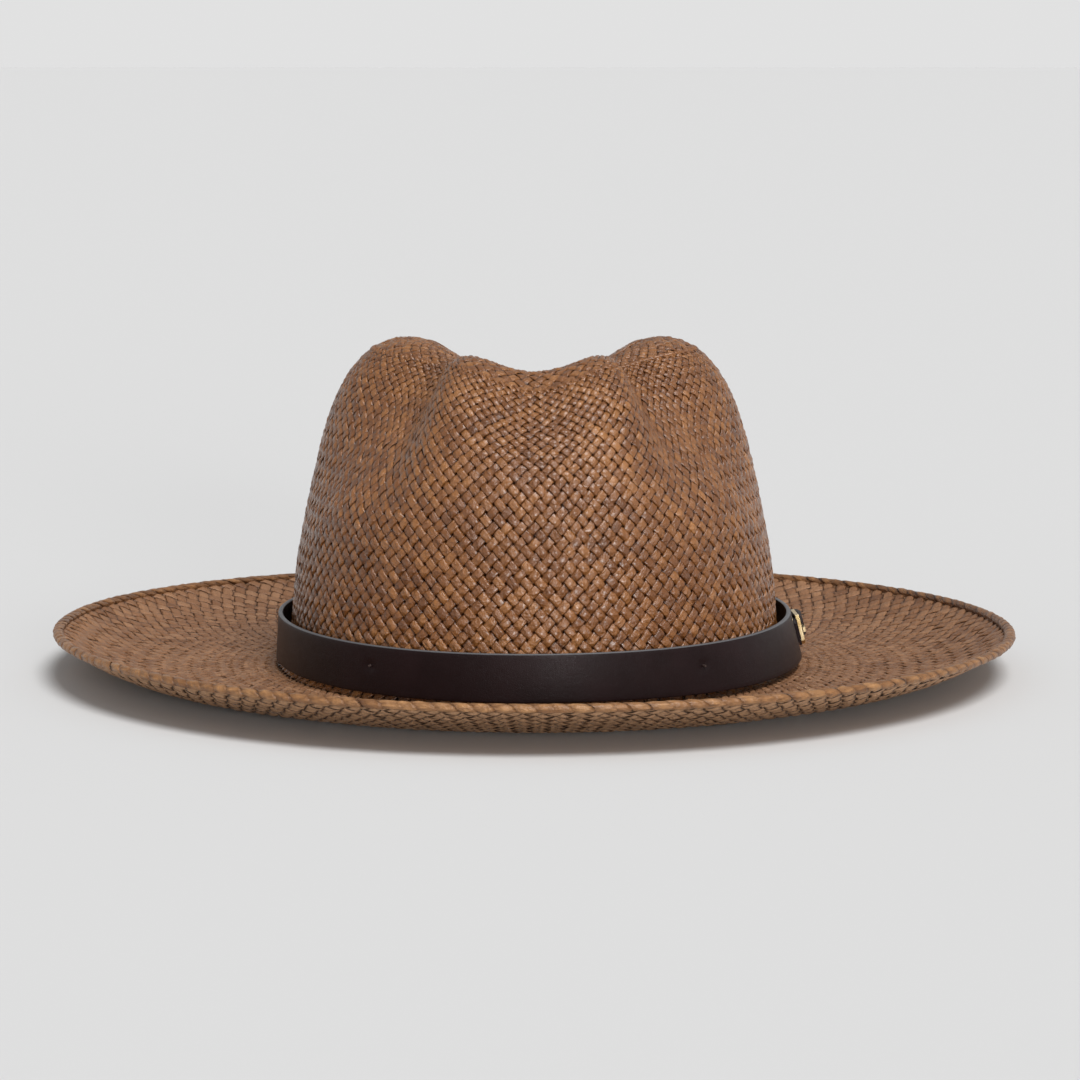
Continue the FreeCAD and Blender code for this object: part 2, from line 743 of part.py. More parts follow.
def buckle_prong():
    """The prong: an eye round the bar, and an arm whose tip rests on the frame's front bar."""
    body = new_body("buckle_prong")
    eye_inner = BAR_RADIUS + size("prong_clearance")
    eye_outer = eye_inner + 0.65
    eye = new_sketch(body, "prong_eye", "XY_Plane")
    eye.addGeometry(Part.Circle(Vector(0, 0, 0), Vector(0, 0, 1), eye_outer))
    eye.addGeometry(Part.Circle(Vector(0, 0, 0), Vector(0, 0, 1), eye_inner))
    add_pad(body, "prong_eye_pad", eye, "sizes.prong_width")
    # the arm, from the eye's front side out over the front bar
    reach = 2.0 * BAR_ALONG
    low = BAR_RADIUS + size("moving_gap") * 0.5
    thick = size("prong_thickness")
    arm = new_sketch(body, "prong_arm", "XY_Plane")
    add_outline(
        arm,
        [
            (-0.35, -eye_inner - 0.15, 0),
            (0.2, -reach * 0.45, 0),
            (low, -reach * 0.82, 0),
            (low, -reach - BAR_RADIUS - 0.5, 0),
            (low + thick * 0.7, -reach - BAR_RADIUS - 0.5, 0),
            (low + thick, -reach - BAR_RADIUS + 0.6, 0),
            (low + thick, -reach * 0.82, 0),
            (0.2 + thick, -reach * 0.45, 0),
            (0.75, -eye_inner - 0.1, 0),
        ],
    )
    add_pad(body, "prong_arm_pad", arm, "sizes.prong_width")
    body.Placement = buckle_frame_place().multiply(Placement(Vector(BAR_OUT, BAR_ALONG, 0), Rotation()))
    return body


def strap_keeper():
    """A leather loop round the band and the strap's end, free to slide along them."""
    body = new_body("strap_keeper")
    gap = size("moving_gap")
    wall = size("keeper_thickness")
    # the band bends away from the straight loop as the loop travels along it
    low = -(size("band_thickness") + gap + size("keeper_play"))
    high = STRAP_BEHIND + size("strap_thickness") / 2.0 + gap + 0.15
    # the band leans, and its level top edge stands a little higher on the inside
    half = size("band_height") / 2.0 / math.cos(math.radians(LEAN))
    bottom = -(half + gap)
    top = half + gap + size("band_thickness") * math.sin(math.radians(LEAN))
    # the XZ plane's sketch axes are the body's X and Z
    sketch = new_sketch(body, "keeper_loop", "XZ_Plane")
    add_outline(sketch, [(low, bottom, 0), (high, bottom, 0), (high, top, 0), (low, top, 0)])
    add_outline(
        sketch,
        [
            (low - wall, bottom - wall, 0),
            (high + wall, bottom - wall, 0),
            (high + wall, top + wall, 0),
            (low - wall, top + wall, 0),
        ],
    )
    add_pad(body, "keeper_strip", sketch, "sizes.keeper_width")
    body.Placement = band_place(KEEPER_AT)
    return body


def strap_stitches():
    """Thread that sews the strap's root and the chape's end to the band."""
    radius = size("stitch_diameter") / 2.0
    stitches = []
    for along in (STRAP_START + 1.4, STRAP_START + 3.4):
        for up in (-2.6, 0.0, 2.6):
            inside = on_band(along, -size("band_thickness") * 0.6, up)
            outside = on_band(along, STRAP_LOW + size("strap_thickness") / 2.0 + 0.15, up)
            stitches.append(Part.makeCylinder(radius, (outside - inside).Length, inside, outside - inside))
    for up in (-2.6, 0.0, 2.6):
        inside = on_band(CHAPE_END - 1.5, -size("band_thickness") * 0.6, up)
        outside = on_band(CHAPE_END - 1.5, CHAPE_LOW + size("chape_thickness") / 2.0, up)
        stitches.append(Part.makeCylinder(radius, (outside - inside).Length, inside, outside - inside))
    return place_in_buckle("strap_stitches", Part.makeCompound(stitches))


# ---------------------------------------------------------------- build, check and write
parts = [
    straw_body(),
    brim_rim(),
    rim_wire(),
    sweatband(),
    sweatband_reed(),
    sweatband_stitches(),
    sweatband_bow(),
    hatband(),
    band_tacks(),
    buckle_strap(),
    buckle_chape(),
    buckle_frame(),
    buckle_bar(),
    buckle_prong(),
    strap_keeper(),
    strap_stitches(),
]
DOC.recompute()

failed = [item.Name for item in DOC.Objects if "Invalid" in item.State or "Error" in item.State]
if failed:
    raise RuntimeError("objects failed: %s" % ", ".join(failed))
for part in parts:
    if part.Shape.isNull() or not part.Shape.isValid():
        raise RuntimeError("bad shape: %s" % part.Label)

os.makedirs("parts", exist_ok=True)
for part in parts:
    part.Shape.exportStep(os.path.join("parts", part.Label + ".step"))
    box = part.Shape.BoundBox
    print(
        "%-20s volume %10.1f  x %7.1f %7.1f  y %7.1f %7.1f  z %6.2f %6.2f"
        % (part.Label, part.Shape.Volume, box.XMin, box.XMax, box.YMin, box.YMax, box.ZMin, box.ZMax)
    )

axis = buckle_place().Rotation.multVec(Vector(0, 0, 1))
pivot = buckle_frame_place().multVec(Vector(BAR_OUT, BAR_ALONG, 0))
slide = band_place(KEEPER_AT).Rotation.multVec(Vector(0, 1, 0))
print("prong pivot", tuple(round(value, 4) for value in pivot))
print("prong axis", tuple(round(value, 5) for value in axis))
print("keeper slide", tuple(round(value, 5) for value in slide))
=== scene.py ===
"""Panama hat: woven straw, braided rim, leather band, buckle and sweatband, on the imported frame."""
import math

import bpy
import numpy as np
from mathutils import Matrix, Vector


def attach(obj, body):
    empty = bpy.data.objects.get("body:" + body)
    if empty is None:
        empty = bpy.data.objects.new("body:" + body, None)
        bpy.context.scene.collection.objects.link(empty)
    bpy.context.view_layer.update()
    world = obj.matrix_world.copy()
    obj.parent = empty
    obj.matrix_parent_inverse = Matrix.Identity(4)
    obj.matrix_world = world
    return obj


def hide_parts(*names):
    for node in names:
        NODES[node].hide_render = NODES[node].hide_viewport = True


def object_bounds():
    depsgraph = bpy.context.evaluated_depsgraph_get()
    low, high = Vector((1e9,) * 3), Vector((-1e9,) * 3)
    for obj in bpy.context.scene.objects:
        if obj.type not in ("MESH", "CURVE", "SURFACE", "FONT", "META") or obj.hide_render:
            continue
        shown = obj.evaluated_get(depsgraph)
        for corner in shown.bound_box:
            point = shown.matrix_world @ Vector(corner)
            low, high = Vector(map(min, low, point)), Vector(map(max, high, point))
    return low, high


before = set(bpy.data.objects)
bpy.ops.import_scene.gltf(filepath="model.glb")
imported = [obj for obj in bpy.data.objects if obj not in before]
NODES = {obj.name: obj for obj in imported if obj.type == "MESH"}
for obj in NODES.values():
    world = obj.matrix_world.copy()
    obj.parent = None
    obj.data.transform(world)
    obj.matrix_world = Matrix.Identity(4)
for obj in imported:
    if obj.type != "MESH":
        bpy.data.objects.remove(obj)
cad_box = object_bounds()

MM = 0.001

# ---------------------------------------------------------------- sizes of the hat, in mm
HALF_WIDTH = 88.2
HALF_LENGTH = 104.7
HEIGHT = 124.0
TAPER = 0.125
SHOULDER = 4.4          # exponent of the superellipse that rounds the wall into the tip
DENT_DEPTH = 27.0
PINCH_SHARE = 0.30
STRAW = 2.0
FILLET = 4.0            # curve from the wall into the brim
SIDE_REACH = 82.8
END_REACH = 85.3
RIM_WIDTH = 4.6
RIM_HEIGHT = 3.8
FRONT_LIFT = 15.0
LEFT_LIFT = 14.2
RIGHT_LIFT = 13.0
BACK_LIFT = 9.0
FLAT_SHARE = 0.42
RIM_TUCK = 1.6          # how far short of the outer edge the woven strands end, inside the rim
BAND_BOTTOM = 4.2
BAND_HEIGHT = 16.3
BAND_THICKNESS = 1.6
BAND_GAP = 1.7
BUCKLE_LEAN = 4.2
SWEAT_BOTTOM = 3.0
SWEAT_HEIGHT = 31.0
SWEAT_THICKNESS = 1.0
SWEAT_FACE = -2.25
TACK_ANGLES = (-52.0, -127.0, 60.0, 120.0)

# the weave
WALL_STRANDS = 110      # strands of one family round the crown
BRIM_STRANDS = 160
MID_DEPTH = 0.8         # the weave's middle lies this far under the straw's outer face
WAVE = 0.38             # a strand rises and falls this far as it passes over and under
PUFF = 0.40             # how far a strand's middle stands above its edges
EDGE = 0.20             # thickness of a strand's edge
BACKING = 24.0          # how far in from the rim the turned-back strand ends reach
PAINTED_UNDER_LIGHT = 0.80            # painted light: how far the strands' lower sides are paled, from 0 to 1, as if lit from below
HALF_STRAND = 0.485     # half a strand's width, as a share of a cell
STEPS = 4               # mesh steps from one crossing to the next


# ---------------------------------------------------------------- small helpers
def smooth(value):
    """0 below 0, 1 above 1, and an even curve between."""
    value = np.clip(value, 0.0, 1.0)
    return value * value * (3.0 - 2.0 * value)


def mix(low, high, share):
    """Low at a share of 0 and high at a share of 1."""
    return low + (high - low) * share


def soft_noise(random, count, length, step):
    """Rows of smooth random numbers from -1 to 1, that turn about every step places."""
    knots = random.uniform(-1.0, 1.0, (count, int(length / step) + 3))
    places = np.arange(length) / step
    first = places.astype(int)
    share = smooth(places - first)
    return mix(knots[:, first], knots[:, first + 1], share)


def make_piece(name, body, vertices, faces, material, uv=None, values=None):
    """A mesh piece in metres that rides on a body."""
    mesh = bpy.data.meshes.new(name)
    vertices = np.asarray(vertices, dtype=np.float32)
    faces = np.asarray(faces, dtype=np.int32)
    sides = faces.shape[1]
    mesh.vertices.add(len(vertices))
    mesh.vertices.foreach_set("co", vertices.ravel())
    mesh.loops.add(faces.size)
    mesh.loops.foreach_set("vertex_index", faces.ravel())
    mesh.polygons.add(len(faces))
    mesh.polygons.foreach_set("loop_start", np.arange(len(faces), dtype=np.int32) * sides)
    mesh.update(calc_edges=True)
    mesh.polygons.foreach_set("use_smooth", np.full(len(faces), True))
    if uv is not None:
        layer = mesh.uv_layers.new(name="Strand")
        layer.data.foreach_set("uv", np.asarray(uv, dtype=np.float32)[faces.ravel()].ravel())
    for key, value in (values or {}).items():
        store = mesh.attributes.new(name=key, type="FLOAT", domain="POINT")
        store.data.foreach_set("value", np.asarray(value, dtype=np.float32))
    mesh.materials.append(material)
    piece = bpy.data.objects.new(name, mesh)
    bpy.context.scene.collection.objects.link(piece)
    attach(piece, body)
    return piece


def grid_faces(rows, columns, close_rows=False, close_columns=False):
    """Quads of a grid of vertices, row after row."""
    last_row = rows if close_rows else rows - 1
    last_column = columns if close_columns else columns - 1
    row, column = np.meshgrid(np.arange(last_row), np.arange(last_column), indexing="ij")
    next_row = (row + 1) % rows
    next_column = (column + 1) % columns
    quads = np.stack(
        [
            row * columns + column,
            row * columns + next_column,
            next_row * columns + next_column,
            next_row * columns + column,
        ],
        axis=-1,
    )
    return quads.reshape(-1, 4)


# ---------------------------------------------------------------- the hat's surface
def pinch(azimuth, radius, height):
    """Share by which the two pinches at the front draw the crown's radius in."""
    total = 0.0
    for side in (-1.0, 1.0):
        away = azimuth * side - math.radians(46.0)
        away = (away + math.pi) % (2.0 * math.pi) - math.pi
        spread = np.where(away < 0.0, math.radians(13.0), math.radians(30.0))
        start = 0.46 - 0.20 * smooth(away / math.radians(50.0)) + 0.05 * smooth(-away / math.radians(30.0))
        rise = smooth((height - start) / 0.44)
        total = total + np.exp(-((away / spread) ** 2)) * rise * (0.25 + 0.75 * smooth(radius / 0.5))
    return PINCH_SHARE * total


def crown_point(angle, radius, height):
    """A point of the crown's outer face; radius and height are shares of the full sizes."""
    kept = radius * (1.0 - pinch(np.arctan2(np.cos(angle), -np.sin(angle)), radius, height))
    x = HALF_WIDTH * kept * np.cos(angle)
    y = HALF_LENGTH * kept * np.sin(angle)
    dent_width = mix(20.0, 32.0, smooth((y + 78.0) / 95.0))
    depth = mix(10.0, DENT_DEPTH, smooth((y + 62.0) / 48.0)) * (1.0 - smooth((y - 34.0) / 58.0))
    depth = depth * np.exp(-((x / dent_width) ** 2)) * smooth((height - 0.6) / 0.35)
    back_drop = 10.0 * smooth((y - 10.0) / 80.0) * smooth((height - 0.5) / 0.5)
    return np.stack([x, y, HEIGHT * height - depth - back_drop], axis=-1)


def crown_profile():
    """Radius and height shares along the crown, from the foot of the wall up to the tip, by length."""
    turn = np.linspace(0.0, math.pi / 2.0, 6000)
    height = np.sin(turn) ** (2.0 / SHOULDER)
    radius = np.clip(np.cos(turn), 0.0, 1.0) ** (2.0 / SHOULDER) * (1.0 - TAPER * height)
    keep = height * HEIGHT > STRAW + FILLET
    height, radius = height[keep], radius[keep]
    # the curve at the wall's foot, from the brim upwards
    bend = np.linspace(math.pi / 2.0, 0.0, 60)
    foot_height = (STRAW + FILLET * (1.0 - np.sin(bend))) / HEIGHT
    foot_radius = 1.0 + FILLET * (1.0 - np.cos(bend)) / MEAN_HALF
    height = np.concatenate([foot_height, height])
    radius = np.concatenate([foot_radius, radius])
    run = np.hypot(np.diff(height) * HEIGHT, np.diff(radius) * MEAN_HALF)
    return np.concatenate([[0.0], np.cumsum(run)]), radius, height


MEAN_HALF = (HALF_WIDTH + HALF_LENGTH) / 2.0
CROWN_RUN, CROWN_RADIUS, CROWN_HEIGHT = crown_profile()


def crown_surface(angle, run):
    """The crown's outer face at an angle and a length up from the brim."""
    radius = np.interp(run, CROWN_RUN, CROWN_RADIUS)
    height = np.interp(run, CROWN_RUN, CROWN_HEIGHT)
    return crown_point(angle, radius, height)


def brim_lift(angle, share):
    """Height of the brim's upper face over its flat part."""
    front = (1.0 - np.sin(angle)) / 2.0
    right = (1.0 + np.cos(angle)) / 2.0
    side = np.cos(angle) ** 2
    ends = mix(BACK_LIFT, FRONT_LIFT, front)
    edge = ends + (mix(LEFT_LIFT, RIGHT_LIFT, right) - (BACK_LIFT + FRONT_LIFT) / 2.0) * side
    power = mix(mix(1.8, 1.25, front), 2.3, side)
    rise = np.maximum((share - FLAT_SHARE) / (1.0 - FLAT_SHARE), 0.0)
    return edge * rise**power * smooth(rise / 0.25 + 0.2)


def brim_surface(angle, run):
    """The brim's upper face at an angle and a length out from the crown's foot."""
    share = run / BRIM_RUN
    x = HALF_WIDTH + FILLET + (SIDE_REACH - FILLET - RIM_TUCK) * share
    y = HALF_LENGTH + FILLET + (END_REACH - FILLET - RIM_TUCK) * share
    return np.stack([x * np.cos(angle), y * np.sin(angle), STRAW + brim_lift(angle, share)], axis=-1)


BRIM_RUN = (SIDE_REACH + END_REACH) / 2.0 - FILLET - RIM_TUCK


def rim_centre(angle):
    """The middle of the braided rim."""
    inwards = RIM_WIDTH / 2.0
    x = (HALF_WIDTH + SIDE_REACH - inwards) * np.cos(angle)
    y = (HALF_LENGTH + END_REACH - inwards) * np.sin(angle)
    return np.stack([x, y, STRAW / 2.0 + brim_lift(angle, np.ones_like(angle))], axis=-1)


# ---------------------------------------------------------------- materials
def new_material(name):
    """A material, its node tree and its Principled shader."""
    material = bpy.data.materials.new(name)
    material.use_nodes = True
    tree = material.node_tree
    shader = next(node for node in tree.nodes if node.type == "BSDF_PRINCIPLED")
    return material, tree, shader


def add_node(tree, kind, inputs=None, **settings):
    """A node with some of its inputs set or linked."""
    node = tree.nodes.new(kind)
    for key, value in settings.items():
        setattr(node, key, value)
    for key, value in (inputs or {}).items():
        if isinstance(value, bpy.types.NodeSocket):
            tree.links.new(value, node.inputs[key])
        else:
            node.inputs[key].default_value = value
    return node


def attribute(tree, name):
    return add_node(tree, "ShaderNodeAttribute", attribute_name=name).outputs["Fac"]


def colour_ramp(tree, fac, stops):
    """A ramp through (place, linear colour) stops."""
    node = add_node(tree, "ShaderNodeValToRGB", {"Fac": fac})
    elements = node.color_ramp.elements
    while len(elements) < len(stops):
        elements.new(0.5)
    for element, (place, colour) in zip(elements, stops):
        element.position = place
        element.color = (*colour, 1.0)
    return node.outputs["Color"]


def math_node(tree, operation, first, second, third=None):
    inputs = {0: first, 1: second}
    if third is not None:
        inputs[2] = third
    return add_node(tree, "ShaderNodeMath", inputs, operation=operation).outputs[0]


def mix_colour(tree, fac, first, second, blend="MIX"):
    node = add_node(tree, "ShaderNodeMix", data_type="RGBA", blend_type=blend)
    for key, value in ((0, fac), (6, first), (7, second)):
        if isinstance(value, bpy.types.NodeSocket):
            tree.links.new(value, node.inputs[key])
        else:
            node.inputs[key].default_value = value
    return node.outputs[2]


def stretched(tree, source, scale):
    """Coordinates scaled unevenly, for grain that runs one way."""
    return add_node(tree, "ShaderNodeMapping", {"Vector": source, "Scale": scale}).outputs["Vector"]


def noise(tree, vector, scale, detail=3.0, rough=0.55, **settings):
    inputs = {"Vector": vector, "Scale": scale, "Detail": detail, "Roughness": rough}
    return add_node(tree, "ShaderNodeTexNoise", inputs, **settings).outputs["Fac"]


def add_bump(tree, shader, layers):
    """A chain of bumps: (height, strength, distance) from broad to fine."""
    normal = None
    for height, strength, distance in layers:
        inputs = {"Height": height, "Strength": strength, "Distance": distance}
        if normal is not None:
            inputs["Normal"] = normal
        normal = add_node(tree, "ShaderNodeBump", inputs).outputs["Normal"]
    tree.links.new(normal, shader.inputs["Normal"])


PAINTED_UNDERSIDE_LIGHT = (0.50, 0.290, 0.160)     # painted light: a pale colour for the strands' lower sides, as if lit from below


def straw_material(name, dark, middle, light, gloss):
    """Lacquered toquilla strands: long fibres and creases, with painted shade that darkens the strands'
    edges and the places where they dip under each other, and painted light that pales their lower sides.
    """
    material, tree, shader = new_material(name)
    place = add_node(tree, "ShaderNodeTexCoord").outputs["Object"]
    strand = add_node(tree, "ShaderNodeUVMap", uv_map="Strand").outputs["UV"]
    fibres = noise(tree, stretched(tree, strand, (7.0, 0.45, 1.0)), 2.6, 4.0, 0.65)
    creases = noise(tree, stretched(tree, strand, (1.6, 1.1, 1.0)), 1.5, 2.0, 0.6)
    crumple = add_node(
        tree, "ShaderNodeTexVoronoi", {"Vector": place, "Scale": 620.0, "Randomness": 1.0}
    ).outputs["Distance"]
    patches = noise(tree, place, 38.0, 2.0)
    tone = math_node(tree, "MULTIPLY_ADD", attribute(tree, "tone"), 0.62, 0.0)
    tone = math_node(tree, "MULTIPLY_ADD", fibres, 0.26, tone)
    tone = math_node(tree, "MULTIPLY_ADD", patches, 0.30, tone)
    colour = colour_ramp(tree, tone, [(0.22, dark), (0.52, middle), (0.86, light)])
    # painted shade: the lower a point of a strand lies (the "raised" attribute), the darker it is made,
    # standing in for the shade between and under the strands
    shade = [(0.0, (0.05, 0.035, 0.025)), (0.38, (0.26, 0.20, 0.16)), (0.70, (1.0, 1.0, 1.0))]
    painted_hollow_shade = colour_ramp(tree, attribute(tree, "raised"), shade)
    colour = mix_colour(tree, 1.0, colour, painted_hollow_shade, "MULTIPLY")
    # painted light: lower sides are mixed towards the pale underside colour, as if lit from below
    colour = mix_colour(tree, attribute(tree, "under"), colour, (*PAINTED_UNDERSIDE_LIGHT, 1.0))
    tree.links.new(colour, shader.inputs["Base Color"])
    rough = math_node(tree, "MULTIPLY_ADD", fibres, 0.24, 0.33 - 0.18 * gloss)
    rough = math_node(tree, "MULTIPLY_ADD", patches, 0.16, rough)
    tree.links.new(rough, shader.inputs["Roughness"])
    shader.inputs["Specular IOR Level"].default_value = 0.26 + 0.30 * gloss
    shader.inputs["Coat Weight"].default_value = 0.38 * gloss
    shader.inputs["Coat Roughness"].default_value = 0.20
    add_bump(
        tree, shader, [(crumple, 0.45, 0.0007), (creases, 0.90, 0.0010), (fibres, 0.55, 0.00022)]
    )
    return material


def leather_material(name, base, worn, grain_scale, rough_low, sheen=0.0, depth=0.00014):
    """Smooth leather with fine cell grain, faint clouding and worn, paler raised spots."""
    material, tree, shader = new_material(name)
    place = add_node(tree, "ShaderNodeTexCoord").outputs["Object"]
    cells = add_node(
        tree, "ShaderNodeTexVoronoi", {"Vector": place, "Scale": grain_scale}, feature="DISTANCE_TO_EDGE"
    ).outputs["Distance"]
    grain = noise(tree, place, grain_scale * 0.6, 4.0, 0.6)
    clouds = noise(tree, place, 45.0, 3.0)
    colour = colour_ramp(tree, clouds, [(0.30, base), (0.72, worn)])
    raw = mix_colour(tree, attribute(tree, "raw"), colour, (0.105, 0.105, 0.112, 1.0))
    tree.links.new(raw, shader.inputs["Base Color"])
    rough = math_node(tree, "MULTIPLY_ADD", grain, 0.22, rough_low)
    tree.links.new(rough, shader.inputs["Roughness"])
    shader.inputs["Specular IOR Level"].default_value = 0.20
    if sheen:
        shader.inputs["Sheen Weight"].default_value = sheen
        shader.inputs["Sheen Roughness"].default_value = 0.4
    creases = math_node(tree, "MINIMUM", cells, 0.12)
    add_bump(tree, shader, [(clouds, 0.25, 0.0006), (creases, 0.55, depth * 4.0), (grain, 0.40, depth)])
    return material


def brass_material():
    """Polished brass with fine scratches and a little tarnish."""
    material, tree, shader = new_material("brass")
    place = add_node(tree, "ShaderNodeTexCoord").outputs["Object"]
    stain = noise(tree, place, 320.0, 3.0)
    scratches = noise(tree, stretched(tree, place, (3.0, 1.0, 0.12)), 2600.0, 2.0)
    colour = colour_ramp(tree, stain, [(0.35, (0.82, 0.60, 0.28)), (0.68, (0.96, 0.80, 0.50))])
    tree.links.new(colour, shader.inputs["Base Color"])
    shader.inputs["Metallic"].default_value = 1.0
    tree.links.new(math_node(tree, "MULTIPLY_ADD", stain, 0.16, 0.20), shader.inputs["Roughness"])
    add_bump(tree, shader, [(stain, 0.10, 0.0001), (scratches, 0.12, 0.00002)])
    return material


def thread_material():
    """Waxed twisted thread."""
    material, tree, shader = new_material("waxed_thread")
    place = add_node(tree, "ShaderNodeTexCoord").outputs["Object"]
    twist = add_node(
        tree, "ShaderNodeTexWave", {"Vector": place, "Scale": 900.0, "Distortion": 1.5},
        bands_direction="DIAGONAL",
    ).outputs["Fac"]
    colour = colour_ramp(tree, twist, [(0.2, (0.020, 0.012, 0.011)), (0.8, (0.085, 0.055, 0.048))])
    tree.links.new(colour, shader.inputs["Base Color"])
    tree.links.new(math_node(tree, "MULTIPLY_ADD", twist, 0.2, 0.42), shader.inputs["Roughness"])
    add_bump(tree, shader, [(twist, 0.6, 0.0001)])
    return material


def ribbon_material():
    """Grosgrain ribbon with fine cross ribs."""
    material, tree, shader = new_material("grosgrain")
    place = add_node(tree, "ShaderNodeTexCoord").outputs["Object"]
    ribs = add_node(
        tree, "ShaderNodeTexWave", {"Vector": place, "Scale": 620.0, "Distortion": 0.4}, bands_direction="X"
    ).outputs["Fac"]
    colour = colour_ramp(tree, ribs, [(0.1, (0.022, 0.014, 0.012)), (0.9, (0.070, 0.047, 0.040))])
    tree.links.new(colour, shader.inputs["Base Color"])
    shader.inputs["Roughness"].default_value = 0.62
    shader.inputs["Sheen Weight"].default_value = 0.3
    add_bump(tree, shader, [(ribs, 0.7, 0.00012)])
    return material


def plain_material(name, low, high, roughness, metallic=0.0):
    """A simple finish with a little uneven colour, for parts inside the hat."""
    material, tree, shader = new_material(name)
    place = add_node(tree, "ShaderNodeTexCoord").outputs["Object"]
    uneven = noise(tree, place, 260.0, 3.0)
    tree.links.new(colour_ramp(tree, uneven, [(0.3, low), (0.7, high)]), shader.inputs["Base Color"])
    tree.links.new(math_node(tree, "MULTIPLY_ADD", uneven, 0.2, roughness), shader.inputs["Roughness"])
    shader.inputs["Metallic"].default_value = metallic
    add_bump(tree, shader, [(uneven, 0.2, 0.0001)])
    return material


CROWN_STRAW = straw_material(
    "crown_straw", (0.066, 0.019, 0.003), (0.172, 0.060, 0.013), (0.325, 0.135, 0.038), 1.0,
)
BRIM_STRAW = straw_material(
    "brim_straw", (0.096, 0.037, 0.015), (0.218, 0.101, 0.046), (0.345, 0.182, 0.094), 0.20,
)
RIM_STRAW = straw_material(
    "rim_straw", (0.150, 0.062, 0.022), (0.320, 0.150, 0.056), (0.480, 0.255, 0.108), 0.35,
)
BAND_LEATHER = leather_material(
    "band_leather", (0.0080, 0.0026, 0.0030), (0.0150, 0.0060, 0.0068), 1500.0, 0.30
)
SWEAT_LEATHER = leather_material(
    "sweatband_leather", (0.115, 0.060, 0.032), (0.175, 0.098, 0.055), 1100.0, 0.50, 0.10
)
BRASS = brass_material()
THREAD = thread_material()
RIBBON = ribbon_material()


# ---------------------------------------------------------------- weaving
SECTION = np.array([-1.0, -0.62, 0.05, 0.62, 1.0, 0.45, -0.45])   # places across a strand
TOP = np.array([0.0, 0.80, 1.0, 0.80, 0.0, 0.0, 0.0])             # how far the upper side is puffed there
SIDE = np.array([0.0, 1.0, 1.0, 1.0, 0.0, -1.0, -1.0])            # upper side, edge or lower side


def outward(surface, angle, run, point, nudge):
    """Unit normals of a surface at its points, from two short steps across it."""
    by_angle = surface(angle + nudge / 100.0, run) - point
    by_run = surface(angle, run + nudge) - point
    normal = np.cross(by_angle, by_run)
    normal = normal / np.maximum(np.linalg.norm(normal, axis=-1, keepdims=True), 1e-9)
    return -normal if surface is brim_surface else normal


